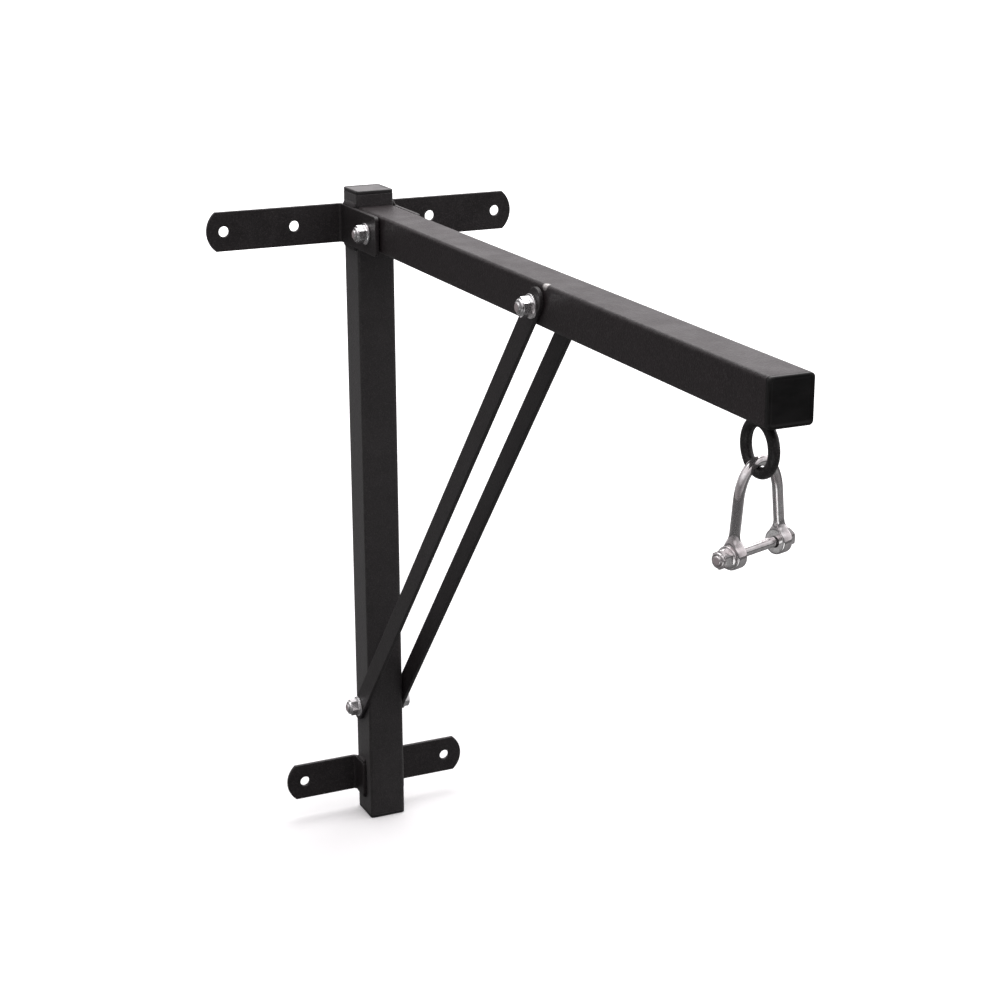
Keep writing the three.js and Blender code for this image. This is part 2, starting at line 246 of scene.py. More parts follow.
def combined(shape, other, operation):
    """A boolean of two closed shapes, as a new shape."""
    objects = []
    for part in (shape, other):
        bmesh.ops.recalc_face_normals(part, faces=part.faces[:])
        mesh = bpy.data.meshes.new("operand")
        part.to_mesh(mesh)
        part.free()
        made = bpy.data.objects.new("operand", mesh)
        bpy.context.scene.collection.objects.link(made)
        objects.append(made)
    modifier = objects[0].modifiers.new("cut", "BOOLEAN")
    modifier.operation = operation
    modifier.solver = "EXACT"
    modifier.object = objects[1]
    bpy.context.view_layer.update()
    graph = bpy.context.evaluated_depsgraph_get()
    result = bmesh.new()
    result.from_object(objects[0], graph)
    for made in objects:
        bpy.data.objects.remove(made)
    return result


def piece(name, shape, material, body, slot, nodes, crease=32):
    """Turn a shape into a finished piece that rides on a body and stands for its CAD nodes."""
    bmesh.ops.recalc_face_normals(shape, faces=shape.faces[:])
    mesh = bpy.data.meshes.new(name)
    shape.to_mesh(mesh)
    shape.free()
    mesh.shade_smooth()
    mesh.set_sharp_from_angle(angle=math.radians(crease))
    mesh.materials.append(material)
    made = bpy.data.objects.new(name, mesh)
    bpy.context.scene.collection.objects.link(made)
    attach(made, body)
    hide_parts(*nodes)
    return made


def middle(node):
    low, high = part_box(node)
    return (low + high) / 2


# ------------------------------------------------------------------ material nodes

def new_material(name):
    made = bpy.data.materials.new(name)
    made.use_nodes = True
    tree = made.node_tree
    shader = next(n for n in tree.nodes if n.type == "BSDF_PRINCIPLED")
    return made, tree, shader


def add_node(tree, kind, values=(), **settings):
    """A node with its settings, and its inputs set to constants or linked to other nodes' outputs."""
    made = tree.nodes.new(kind)
    for key, value in settings.items():
        setattr(made, key, value)
    for key, value in dict(values).items():
        if isinstance(value, bpy.types.NodeSocket):
            tree.links.new(value, made.inputs[key])
        else:
            made.inputs[key].default_value = value
    return made


def object_place(tree, stretch=(1, 1, 1)):
    place = add_node(tree, "ShaderNodeTexCoord").outputs["Object"]
    return add_node(tree, "ShaderNodeMapping", {"Vector": place, "Scale": stretch}).outputs["Vector"]


def cloudy(tree, place, scale, detail=3.0, roughness=0.5):
    values = {"Vector": place, "Scale": scale, "Detail": detail, "Roughness": roughness}
    return add_node(tree, "ShaderNodeTexNoise", values).outputs["Fac"]


def cells(tree, place, scale):
    values = {"Vector": place, "Scale": scale, "Smoothness": 0.4}
    return add_node(tree, "ShaderNodeTexVoronoi", values, feature="SMOOTH_F1").outputs["Distance"]


def remap(tree, value, low, high, to_low=0.0, to_high=1.0):
    values = {"Value": value, "From Min": low, "From Max": high, "To Min": to_low, "To Max": to_high}
    return add_node(tree, "ShaderNodeMapRange", values).outputs["Result"]


def calculate(tree, operation, first, second):
    return add_node(tree, "ShaderNodeMath", {0: first, 1: second}, operation=operation).outputs[0]


def mix_colour(tree, factor, first, second):
    values = {0: factor, 6: first, 7: second}
    return add_node(tree, "ShaderNodeMix", values, data_type="RGBA").outputs[2]


def mix_value(tree, factor, first, second):
    return add_node(tree, "ShaderNodeMix", {0: factor, 2: first, 3: second}, data_type="FLOAT").outputs[0]


def edge_wear(tree):
    return add_node(tree, "ShaderNodeAttribute", attribute_name="edge").outputs["Fac"]


def bump(tree, height, strength, distance):
    values = {"Height": height, "Strength": strength, "Distance": distance}
    return add_node(tree, "ShaderNodeBump", values).outputs["Normal"]


def rgb(red, green, blue):
    return (red, green, blue, 1.0)


# ------------------------------------------------------------------ materials

def near_point(tree, point, radius):
    """1 close to a point of the frame, fading to 0 at the radius."""
    place = add_node(tree, "ShaderNodeTexCoord").outputs["Object"]
    away = add_node(tree, "ShaderNodeVectorMath", {0: place, 1: point}, operation="DISTANCE").outputs["Value"]
    return remap(tree, away, radius * 0.5, radius, 1.0, 0.0)


def coat_colour(tree, place, dark, light, mottle, grain):
    """Slowly mottled black with pale flecks, dark pits and long pale streaks."""
    colour = mix_colour(tree, mottle, dark, light)
    fleck = remap(tree, grain, 0.54, 0.68, 0.0, 0.6)
    colour = mix_colour(tree, fleck, colour, rgb(0.075, 0.068, 0.07))
    pit = remap(tree, grain, 0.34, 0.46, 0.55, 0.0)
    colour = mix_colour(tree, pit, colour, rgb(0.004, 0.0035, 0.0037))
    streaks = cloudy(tree, object_place(tree, (30, 90, 240)), 4.0, 6.0, 0.75)
    return mix_colour(tree, remap(tree, streaks, 0.62, 0.76, 0.0, 0.35), colour, rgb(0.075, 0.072, 0.072))


def bare_metal(tree, place, point, radius):
    """A ragged spot around a point, where the coat has come off."""
    ragged = remap(tree, cloudy(tree, place, 420.0, 3.0, 0.7), 0.40, 0.45)
    return calculate(tree, "MULTIPLY", near_point(tree, point, radius), ragged)


def powder_coat(name, dark, light, rough, grain_bump=0.8, specular=0.5, sheen=0.0, chip=None):
    """Satin powder coat with a fine sandy grain and rubbed edges, and perhaps a chip down to the steel."""
    made, tree, shader = new_material(name)
    place = object_place(tree)
    mottle = remap(tree, cloudy(tree, place, 38.0, 5.0, 0.62), 0.36, 0.66)
    grain = cloudy(tree, place, 820.0, 2.0, 0.6)
    peel = cells(tree, place, 620.0)
    colour = coat_colour(tree, place, dark, light, mottle, grain)
    patchy = remap(tree, cloudy(tree, place, 140.0, 4.0, 0.7), 0.42, 0.62)
    rubbed = calculate(tree, "MULTIPLY", edge_wear(tree), patchy)
    colour = mix_colour(tree, calculate(tree, "MULTIPLY", rubbed, 0.3), colour, rgb(0.06, 0.057, 0.057))
    roughness = remap(tree, mottle, 0.0, 1.0, rough - 0.05, rough + 0.05)
    roughness = mix_value(tree, rubbed, roughness, rough - 0.05)
    if chip:
        metal = bare_metal(tree, place, *chip)
        colour = mix_colour(tree, metal, colour, rgb(0.85, 0.83, 0.81))
        roughness = mix_value(tree, metal, roughness, 0.5)
        tree.links.new(metal, shader.inputs["Metallic"])
    height = calculate(tree, "ADD", calculate(tree, "MULTIPLY", grain, 0.55), peel)
    shader.inputs["Specular IOR Level"].default_value = specular
    shader.inputs["Sheen Weight"].default_value = sheen
    tree.links.new(colour, shader.inputs["Base Color"])
    tree.links.new(roughness, shader.inputs["Roughness"])
    tree.links.new(bump(tree, height, grain_bump, 0.22 * MM), shader.inputs["Normal"])
    return made


def moulded_plastic(name, dark, light, rough, specular):
    """Black polythene: satin, with flow marks, fine pitting and a few pale scuffs."""
    made, tree, shader = new_material(name)
    place = object_place(tree)
    flow = cloudy(tree, object_place(tree, (60, 60, 200)), 1.0, 4.0, 0.6)
    pits = cells(tree, place, 900.0)
    colour = mix_colour(tree, remap(tree, flow, 0.35, 0.65), dark, light)
    streaks = cloudy(tree, object_place(tree, (300, 60, 60)), 3.0, 6.0, 0.7)
    patchy = remap(tree, cloudy(tree, place, 180.0), 0.4, 0.6, 0.0, 0.3)
    rubbed = calculate(tree, "MULTIPLY", edge_wear(tree), patchy)
    scuffed = calculate(tree, "MAXIMUM", remap(tree, streaks, 0.6, 0.72, 0.0, 0.3), rubbed)
    colour = mix_colour(tree, scuffed, colour, rgb(0.05, 0.049, 0.049))
    shader.inputs["Specular IOR Level"].default_value = specular
    tree.links.new(colour, shader.inputs["Base Color"])
    tree.links.new(remap(tree, flow, 0.3, 0.7, rough - 0.05, rough + 0.08), shader.inputs["Roughness"])
    tree.links.new(bump(tree, calculate(tree, "ADD", pits, flow), 0.18, 0.12 * MM), shader.inputs["Normal"])
    return made


def plated(name, bright, dull, tint, rough, wave):
    """Bright plating over softly uneven metal: dull patches, a faint tint, hairlines, and dull cut ends."""
    made, tree, shader = new_material(name)
    place = object_place(tree)
    patch = remap(tree, cloudy(tree, place, 240.0, 4.0, 0.6), 0.4, 0.64)
    colour = mix_colour(tree, patch, bright, dull)
    hue = remap(tree, cloudy(tree, place, 70.0, 2.0, 0.5), 0.44, 0.62, 0.0, 0.5)
    colour = mix_colour(tree, hue, colour, tint)
    lines = cloudy(tree, object_place(tree, (900, 900, 60)), 2.0, 3.0, 0.6)
    hairline = remap(tree, lines, 0.6, 0.68)
    roughness = remap(tree, patch, 0.0, 1.0, *rough)
    roughness = mix_value(tree, calculate(tree, "MULTIPLY", hairline, 0.35), roughness, 0.45)
    ripple = cloudy(tree, place, 190.0, 2.0, 0.5)
    uneven = calculate(tree, "ADD", ripple, calculate(tree, "MULTIPLY", hairline, 0.08))
    cut_end = remap(tree, edge_wear(tree), 0.85, 0.95)
    colour = mix_colour(tree, cut_end, colour, rgb(0.60, 0.53, 0.54))
    roughness = mix_value(tree, cut_end, roughness, 0.55)
    tree.links.new(remap(tree, cut_end, 0.0, 1.0, 0.88, 0.25), shader.inputs["Metallic"])
    tree.links.new(colour, shader.inputs["Base Color"])
    tree.links.new(roughness, shader.inputs["Roughness"])
    tree.links.new(bump(tree, uneven, wave, 0.5 * MM), shader.inputs["Normal"])
    return made


def nylon(name):
    made, tree, shader = new_material(name)
    cloud = cloudy(tree, object_place(tree), 600.0, 3.0, 0.6)
    colour = mix_colour(tree, remap(tree, cloud, 0.35, 0.65), rgb(0.30, 0.24, 0.25), rgb(0.46, 0.40, 0.41))
    shader.inputs["Subsurface Weight"].default_value = 0.15
    shader.inputs["Subsurface Radius"].default_value = (0.001, 0.001, 0.001)
    tree.links.new(colour, shader.inputs["Base Color"])
    tree.links.new(remap(tree, cloud, 0.3, 0.7, 0.35, 0.5), shader.inputs["Roughness"])
    tree.links.new(bump(tree, cloud, 0.2, 0.1 * MM), shader.inputs["Normal"])
    return made


POST_COAT = powder_coat(
    "post_coat", rgb(0.0215, 0.0188, 0.0196), rgb(0.0325, 0.029, 0.030), 0.48,
    grain_bump=0.9, specular=0.68, sheen=0.17)
ARM_CHIP = (Vector((-18.6, -474.5, 20.9)) * MM, 5.5 * MM)  # a place on the arm's left edge, and a radius
ARM_COAT = powder_coat(
    "arm_coat", rgb(0.0175, 0.0118, 0.0132), rgb(0.0245, 0.0178, 0.0195), 0.46,
    specular=0.45, chip=ARM_CHIP)
BAR_COAT = powder_coat("bar_coat", rgb(0.019, 0.0158, 0.0167), rgb(0.029, 0.0248, 0.026), 0.46)
RING_COAT = powder_coat("ring_coat", rgb(0.0115, 0.01, 0.0106), rgb(0.0185, 0.0165, 0.0172), 0.42)
POST_PLASTIC = moulded_plastic(
    "post_cap_plastic", rgb(0.0165, 0.0155, 0.016), rgb(0.0245, 0.0232, 0.024), 0.32, specular=0.65)
ARM_PLASTIC = moulded_plastic(
    "arm_cap_plastic", rgb(0.0058, 0.0056, 0.0056), rgb(0.0095, 0.009, 0.0092), 0.36, specular=0.32)
ZINC = plated(
    "zinc_plate", rgb(0.95, 0.95, 0.955), rgb(0.74, 0.735, 0.74), rgb(0.84, 0.78, 0.79),
    rough=(0.14, 0.3), wave=0.2)
CHROME = plated(
    "shackle_plate", rgb(0.96, 0.95, 0.95), rgb(0.76, 0.74, 0.745), rgb(0.82, 0.74, 0.75),
    rough=(0.06, 0.14), wave=0.16)
NYLON = nylon("nut_nylon")


# ------------------------------------------------------------------ tubes and caps

def tube_shape(side, length, end_place):
    """A square tube from the origin along its own Z, put in place."""
    shape = new_shape()
    outer = rounded_square(side, TUBE_CORNER)
    inner = rounded_square(side - 2 * TUBE_WALL, TUBE_CORNER - TUBE_WALL, wear=0.0)
    prism(shape, [outer, list(reversed(inner))], length, TUBE_RIM, 0.5 * MM)
    shape.transform(end_place)
    return shape


def add_post():
    low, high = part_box("post_tube")
    centre = (low + high) / 2
    shape = tube_shape(high.x - low.x, high.z - low.z, Matrix.Translation((centre.x, centre.y, low.z)))
    foot = middle("foot_bolt")
    shape = drilled(shape, M10["hole"] * MM, foot, (1, 0, 0))
    piece("post_tube_detail", shape, POST_COAT, BRACKET, "black_paint", ["post_tube"])


def add_arm():
    low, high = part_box("arm_tube")
    centre = (low + high) / 2
    lying = Matrix.Translation((centre.x, high.y, centre.z)) @ Matrix.Rotation(math.radians(90), 4, "X")
    shape = tube_shape(high.x - low.x, high.y - low.y, lying)
    for bolt in ("rear_bolt", "strut_bolt"):
        shape = drilled(shape, M10["hole"] * MM, middle(bolt), (1, 0, 0))
    piece("arm_tube_detail", shape, ARM_COAT, BRACKET, "black_paint", ["arm_tube"])


def cap_rows(side, inner, depth, rim):
    """Loops of a cap from its face's middle to its plug's inside, as (side, corner radius, height, wear)."""
    plug = inner - 3.2 * MM
    hollow = plug - 3.6 * MM
    rows = [
        (side * 0.3, 1.2 * MM, rim - 0.45 * MM, 0.0),
        (side - 9 * MM, 1.6 * MM, rim - 0.42 * MM, 0.0),
        (side - 6.2 * MM, 1.8 * MM, rim - 0.36 * MM, 0.0),
        (side - 5.4 * MM, 2.0 * MM, rim - 0.12 * MM, 0.3),
        (side - 4.8 * MM, 2.1 * MM, rim, 0.5),
    ]
    for angle in (0, 22, 45, 68, 90):
        lean = math.radians(angle)
        shrink = 2 * CAP_ROUND * (1 - math.sin(lean))
        rows.append((side - shrink, CAP_CORNER, rim - CAP_ROUND * (1 - math.cos(lean)), 1.0))
    rows += [
        (side, CAP_CORNER, rim * 0.4, 0.2),
        (side, CAP_CORNER, GAP + 0.25 * MM, 0.4),
        (side - 0.4 * MM, CAP_CORNER, GAP, 0.2),
        (plug, 1.2 * MM, GAP, 0.0),
    ]
    for i in range(3):
        level = -(2 + 5.5 * i) * MM
        rows += [
            (plug, 1.2 * MM, level + 0.8 * MM, 0.0),
            (inner - 2 * GAP, 1.2 * MM, level + 0.1 * MM, 0.0),
            (inner - 2 * GAP, 1.2 * MM, level - 0.4 * MM, 0.0),
            (plug, 1.2 * MM, level - 0.6 * MM, 0.0),
        ]
    rows += [
        (plug, 1.2 * MM, -depth, 0.0),
        (hollow, 0.6 * MM, -depth, 0.0),
        (hollow, 0.6 * MM, GAP * 1.5, 0.0),
        (hollow * 0.3, 0.6 * MM, GAP * 1.5, 0.0),
    ]
    return rows


def add_cap(node, tube_node, outward, side):
    """A cap on a tube's end, with its face turned outward."""
    low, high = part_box(node)
    tube_low, tube_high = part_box(tube_node)
    centre = (low + high) / 2
    seat = Vector(centre)
    axis = max(range(3), key=lambda i: abs(outward[i]))
    seat[axis] = tube_high[axis] if outward[axis] > 0 else tube_low[axis]
    face = high[axis] if outward[axis] > 0 else low[axis]
    back = low[axis] if outward[axis] > 0 else high[axis]
    turn = Vector((0, 0, 1)).rotation_difference(Vector(outward)).to_matrix().to_4x4()
    place = Matrix.Translation(seat) @ turn
    shape = new_shape()
    loops = []
    depth, rim = abs(back - seat[axis]), abs(face - seat[axis])
    for width, corner, height, wear in cap_rows(side, side - 2 * TUBE_WALL, depth, rim):
        outline = rounded_square(width, corner, fade=0.8 * MM, wear=wear)
        loops.append([(place @ Vector((p.x, p.y, height)), w) for p, w in outline])
    loft(shape, loops)
    plastic = ARM_PLASTIC if tube_node == "arm_tube" else POST_PLASTIC
    piece(node + "_detail", shape, plastic, BRACKET, "black_plastic", [node])


def add_tubes():
    add_post()
    add_arm()
    post_low, post_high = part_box("post_tube")
    arm_low, arm_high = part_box("arm_tube")
    post_side = post_high.x - post_low.x
    add_cap("post_top_cap", "post_tube", (0, 0, 1), post_side)
    add_cap("post_bottom_cap", "post_tube", (0, 0, -1), post_side)
    add_cap("arm_end_cap", "arm_tube", (0, -1, 0), arm_high.x - arm_low.x)


# ------------------------------------------------------------------ plates and struts

def flat_plate(reach, span, height, inner, screws, bolt_from_wall):
    """The plate before it is bent: u runs from the flange's front end to the wing's tip, v is its height."""
    bend_radius = BEND_INSIDE + BAR
    flange = reach - bend_radius
    bend = (BEND_INSIDE + BAR / 2) * math.pi / 2
    wing_start = inner + bend_radius
    tip_u = flange + bend + span - wing_start
    half = height / 2
    spread = math.degrees(math.asin(half / PLATE_TIP))
    outline = arc((PLATE_CORNER, PLATE_CORNER - half), PLATE_CORNER, 180, 270, 8)
    outline += arc((tip_u - PLATE_TIP, 0), PLATE_TIP, -spread, spread, 28)
    outline += arc((PLATE_CORNER, half - PLATE_CORNER), PLATE_CORNER, 90, 180, 8)
    holes = [circle((flange + bend + x - wing_start, 0), SCREW_HOLE / 2) for x in screws]
    if bolt_from_wall:
        holes.append(circle((reach - bolt_from_wall, 0), M10["hole"] * MM / 2))
    shape = new_shape()
    prism(shape, [outline] + [list(reversed(hole)) for hole in holes], BAR, BAR_RIM, 0.9 * MM)
    for i in range(15):
        cut = Vector((flange + bend * i / 14, 0, 0))
        geometry = shape.verts[:] + shape.edges[:] + shape.faces[:]
        bmesh.ops.bisect_plane(shape, geom=geometry, plane_co=cut, plane_no=(1, 0, 0))
    return shape, flange, bend


def bend_plate(shape, flange, bend, inner, reach, side, level):
    """Fold the flat plate: the flange along the post's side, the wing on the wall."""
    radius = BEND_INSIDE + BAR
    for vert in shape.verts:
        u, v, w = vert.co
        if u <= flange:
            x, y = inner + w, u - reach
        elif u >= flange + bend:
            x, y = inner + radius + u - flange - bend, -w
        else:
            turn = (u - flange) / bend * math.pi / 2
            x = inner + radius - (radius - w) * math.cos(turn)
            y = (radius - w) * math.sin(turn) - radius
        vert.co = (side * x, y, v + level)


def add_plate(level_name, side_name):
    node = f"{level_name}_plate_{side_name}"
    low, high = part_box(node)
    side = SIDES[side_name]
    post_low, post_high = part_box("post_tube")
    inner = post_high.x + GAP
    reach = high.y - low.y
    span = high.x if side > 0 else -low.x
    bolt = -middle("rear_bolt").y if level_name == "upper" else None
    shape, flange, bend = flat_plate(reach, span, high.z - low.z, inner, SCREW_PLACES[level_name], bolt)
    bend_plate(shape, flange, bend, inner, reach, side, (low.z + high.z) / 2)
    piece(node + "_detail", shape, BAR_COAT, BRACKET, "black_paint", [node])


def add_strut(side_name):
    """A flat bar with round ends from the foot bolt up to the arm's bolt."""
    side = SIDES[side_name]
    foot, top = middle("foot_bolt"), middle("strut_bolt")
    foot_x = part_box("post_tube")[1].x + GAP
    top_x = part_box("arm_tube")[1].x + GAP
    along = Vector((0, top.y - foot.y, top.z - foot.z))
    length = along.length
    along.normalize()
    across = Vector((0, along.z, -along.y))
    radius = STRUT_WIDTH / 2
    outline = arc((0, length + STRUT_OVERHANG), radius, 0, 180, 24)
    outline += arc((0, -STRUT_OVERHANG), radius, 180, 360, 24)
    holes = [circle((0, u), M10["hole"] * MM / 2) for u in (0, length)]
    shape = new_shape()
    prism(shape, [outline] + [list(reversed(hole)) for hole in holes], BAR, BAR_RIM, 0.9 * MM)
    for vert in shape.verts:
        v, u, w = vert.co
        x = foot_x + (top_x - foot_x) * u / length + w
        vert.co = Vector((side * x, foot.y, foot.z)) + along * u + across * v
    node = "strut_" + side_name
    piece(node + "_detail", shape, BAR_COAT, BRACKET, "black_paint", [node])


# ------------------------------------------------------------------ welds

def bead(shape, ends, out, up, legs):
    """A fillet of weld metal between two root points, with the crescent ripples of a hand weld."""
    start, finish = ends
    total = (finish - start).length
    count = max(8, round(total / BEAD_PITCH * BEAD_STEPS))
    rows = []
    for k in range(count + 1):
        root = start.lerp(finish, k / count)
        along = total * k / count
        from_end = min(along, total - along) / (1.6 * MM)
        taper = 0.35 + 0.65 * math.sqrt(min(1.0, from_end))
        row = [(root, 0.0)]
        for j in range(BEAD_SIDES + 1):
            share = j / BEAD_SIDES
            turn = math.pi / 2 * share
            crescent = along / BEAD_PITCH - 0.55 * math.sin(2 * turn)
            ripple = abs(math.sin(math.pi * crescent)) - 0.6
            rough = noise.noise(root * 450 + Vector((0, 0, 0.4 * j)))
            swell = taper * (1 + 0.10 * ripple + 0.10 * rough) * 0.93
            reach_out = BEAD_BULGE * math.cos(turn) + (1 - BEAD_BULGE) * (1 - share)
            reach_up = BEAD_BULGE * math.sin(turn) + (1 - BEAD_BULGE) * share
            place = root + (out * legs[0] * reach_out + up * legs[1] * reach_up) * swell
            row.append((place, 0.4))
        rows.append(row)
    loft(shape, rows)


def add_plate_welds():
    for level_name in ("upper", "lower"):
        for side_name, side in SIDES.items():
            for edge_name, edge in EDGES.items():
                node = f"{level_name}_weld_{side_name}_{edge_name}"
                low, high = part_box(node)
                root_x = low.x if side > 0 else high.x
                root_z = low.z if edge > 0 else high.z
                path = [Vector((root_x, high.y, root_z)), Vector((root_x, low.y, root_z))]
                legs = (high.x - low.x, high.z - low.z)
                shape = new_shape()
                bead(shape, path, Vector((side, 0, 0)), Vector((0, 0, edge)), legs)
                piece(node + "_detail", shape, BAR_COAT, BRACKET, "black_paint", [node], crease=50)


def add_ring_welds():
    for side_name, side in SIDES.items():
        node = "ring_weld_" + side_name
        low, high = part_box(node)
        inner_x = (low.x if side > 0 else high.x) + side * 1.5 * MM
        leg = (high.x - low.x) - 1.5 * MM
        path = [Vector((inner_x, high.y, high.z)), Vector((inner_x, low.y, high.z))]
        shape = new_shape()
        bead(shape, path, Vector((side, 0, 0)), Vector((0, 0, -1)), (leg, high.z - low.z))
        piece(node + "_detail", shape, RING_COAT, BRACKET, "black_paint", [node], crease=50)


# ------------------------------------------------------------------ bolts

def hexagon(flats):
    """Radius of a hexagon with softened corners as a function of the angle, a corner at the top."""
    limit = flats / math.sqrt(3) * 0.985

    def radius(angle):
        turn = (angle + math.pi / 6) % (math.pi / 3) - math.pi / 6
        return min(limit, flats / 2 / math.cos(turn))
    return radius


def chamfered(flats, face, drop):
    """Where a 30 degree cone from the face meets the hexagon's wall, as a function of the angle."""
    radius = hexagon(flats)
    start = flats / 2 * 0.93
    slope = math.tan(math.radians(30)) * drop

    def level(angle):
        return face - max(0.0, radius(angle) - start) * slope
    return level


def threaded(radius, pitch, x, depth):
    def at(angle):
        turn = (x / pitch - angle / (2 * math.pi)) % 1.0
        return radius - depth * min(1.0, 1.15 * abs(2 * turn - 1))
    return at


def bolt_rows(size, tail, seat, head_end, thread_end):
    """A bolt along X from its threaded tail to the top of its head."""
    radius, pitch = size["shank"] / 2 * MM * 0.985, size["pitch"] * MM
    depth = pitch * 0.5
    flats = size["flats"] * MM
    rows = [(radius * 0.3, tail, CUT_END), (radius - depth - 0.3 * MM, tail, CUT_END)]
    count = round((thread_end - tail) / pitch * 6)
    for i in range(count + 1):
        x = tail + 0.15 * MM + (thread_end - tail) * i / count
        chamfer = radius - depth * 1.3 + (x - tail) * 1.0
        thread = threaded(radius, pitch, x, depth)
        rows.append((lambda angle, thread=thread, chamfer=chamfer: min(thread(angle), chamfer), x, 0.0))
    rows += [
        (radius, thread_end + 0.8 * MM, 0.0),
        (radius, seat - 0.5 * MM, 0.0),
        (radius + 0.4 * MM, seat - 0.05 * MM, 0.0),
        (flats * 0.47, seat - 0.05 * MM, 0.3),
        (flats * 0.475, seat + 0.35 * MM, 0.3),
        (hexagon(flats), seat + 0.4 * MM, 0.6),
        (hexagon(flats), chamfered(flats, head_end, 1.0), 0.8),
        (flats * 0.465, head_end, 0.8),
        (flats * 0.40, head_end, 0.1),
        (flats * 0.36, head_end - 0.25 * MM, 0.2),
        (flats * 0.10, head_end - 0.28 * MM, 0.0),
    ]
    return rows


def nut_rows(size, end, seat):
    """A lock nut along X from its collar's end to its seat, as a closed ring."""
    flats, collar = size["flats"] * MM, size["collar_width"] / 2 * MM
    bore = size["shank"] / 2 * MM + 0.25 * MM
    step = end + size["collar"] * MM
    rows = [
        (bore, seat, 0.0),
        (flats * 0.47, seat, 0.3),
        (hexagon(flats), chamfered(flats, seat, -0.6), 0.6),
        (hexagon(flats), chamfered(flats, step, 1.0), 0.8),
        (flats * 0.465, step, 0.5),
        (collar + 0.25 * MM, step - 0.05 * MM, 0.0),
        (collar, step - 0.4 * MM, 0.2),
        (collar, end + 1.3 * MM, 0.2),
    ]
    for angle in (20, 40, 60, 80, 90):
        lean = math.radians(angle)
        rows.append((collar - 1.3 * MM * (1 - math.cos(lean)), end + 1.3 * MM * (1 - math.sin(lean)), 0.5))
    rows += [
        (collar - 1.7 * MM, end + 0.15 * MM, 0.3),
        (collar - 1.8 * MM, end + 0.6 * MM, 0.0),
        (collar - 1.7 * MM, step - 0.2 * MM, 0.0),
        (bore + 0.2 * MM, step, 0.0),
    ]
    return rows


def nylon_rows(size, end):
    collar = size["collar_width"] / 2 * MM
    bore = size["shank"] / 2 * MM + 0.05 * MM
    step = end + size["collar"] * MM
    outer = collar - 1.9 * MM
    return [
        (bore, step - 0.4 * MM, 0.0),
        (outer, step - 0.4 * MM, 0.0),
        (outer, end + 0.75 * MM, 0.0),
        (outer - 0.3 * MM, end + 0.5 * MM, 0.0),
        (bore + 0.35 * MM, end + 0.5 * MM, 0.0),
        (bore, end + 0.8 * MM, 0.0),
    ]


def washer_rows(size, inner_face, outer_face):
    """A stamped washer as a closed ring: one rim rounded by the punch, the other slightly sharp."""
    radius, bore = size["washer_width"] / 2 * MM, size["shank"] / 2 * MM + 0.3 * MM
    soft = 0.5 * MM
    way = 1 if outer_face > inner_face else -1
    rows = [
        (bore + 0.2 * MM, inner_face, 0.0),
        (radius - 0.1 * MM, inner_face, 0.4),
        (radius, inner_face + way * 0.1 * MM, 0.4),
    ]
    for angle in (90, 60, 30, 0):
        lean = math.radians(angle)
        level = outer_face - way * soft * (1 - math.cos(lean))
        rows.append((radius - soft * (1 - math.sin(lean)), level, 0.6))
    rows += [
        (bore + 0.25 * MM, outer_face, 0.2),
        (bore, outer_face - way * 0.2 * MM, 0.0),
        (bore, inner_face + way * 0.15 * MM, 0.0),
    ]
    return rows


def reach_along(node, place):
    """Lowest and highest X of a CAD node, measured along a bolt's own axis."""
    back = place.inverted()
    places = [(back @ vert.co).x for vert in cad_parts[node].data.vertices]
    return min(places), max(places)


def add_bolt(name, size, body, place, finish):
    tail, head_end = reach_along(name + "_bolt", place)
    nut_end, nut_seat = reach_along(name + "_nut", place)
    seat = head_end - size["head"] * MM
    bolt = new_shape()
    turned(bolt, bolt_rows(size, tail, seat, head_end, nut_seat + 3 * MM), place)
    piece(name + "_bolt_detail", bolt, finish, body, "zinc", [name + "_bolt"])
    nut = new_shape()
    turned(nut, nut_rows(size, nut_end, nut_seat), place, ring=True)
    piece(name + "_nut_detail", nut, finish, body, "zinc", [name + "_nut"])
    lock = new_shape()
    turned(lock, nylon_rows(size, nut_end), place, ring=True)
    piece(name + "_nut_nylon", lock, NYLON, body, "black_plastic", [])
    for side_name, side in SIDES.items():
        node = f"{name}_washer_{side_name}"
        low, high = reach_along(node, place)
        faces = (low, high) if side > 0 else (high, low)
        washer = new_shape()
        turned(washer, washer_rows(size, *faces), place, columns=64, ring=True)
        piece(node + "_detail", washer, finish, body, "zinc", [node])


def add_bolts():
    for name, turn in (("rear", 0), ("strut", 0), ("foot", 30)):
        place = Matrix.Translation(middle(name + "_bolt")) @ Matrix.Rotation(math.radians(turn), 4, "X")
        add_bolt(name, M10, BRACKET, place, ZINC)
    place = Matrix.Translation(middle("pin_bolt")) @ Matrix.Rotation(PIN_TURN, 4, "Z")
    add_bolt("pin", M8, PIN, place, CHROME)


# ------------------------------------------------------------------ ring and shackle

def add_ring():
    low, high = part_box("hang_ring")
    centre = (low + high) / 2
    rod = RING_ROD / 2
    radius = (high.y - low.y) / 2 - rod
    rows = []
    for i in range(RING_STEPS):
        turn = 2 * math.pi * i / RING_STEPS
        outward = Vector((0, math.cos(turn), math.sin(turn)))
        row = []
        for j in range(RING_SIDES):
            angle = 2 * math.pi * j / RING_SIDES
            normal = outward * math.cos(angle) + Vector((math.sin(angle), 0, 0))
            uneven = noise.noise((centre + outward * radius + normal * rod) * 260) * RING_UNEVEN - 0.05 * MM
            row.append((centre + outward * radius + normal * (rod + uneven), 0.0))
        rows.append(row)
    shape = new_shape()
    loft(shape, rows, ring=True)
    piece("hang_ring_detail", shape, RING_COAT, BRACKET, "black_paint", ["hang_ring"], crease=60)


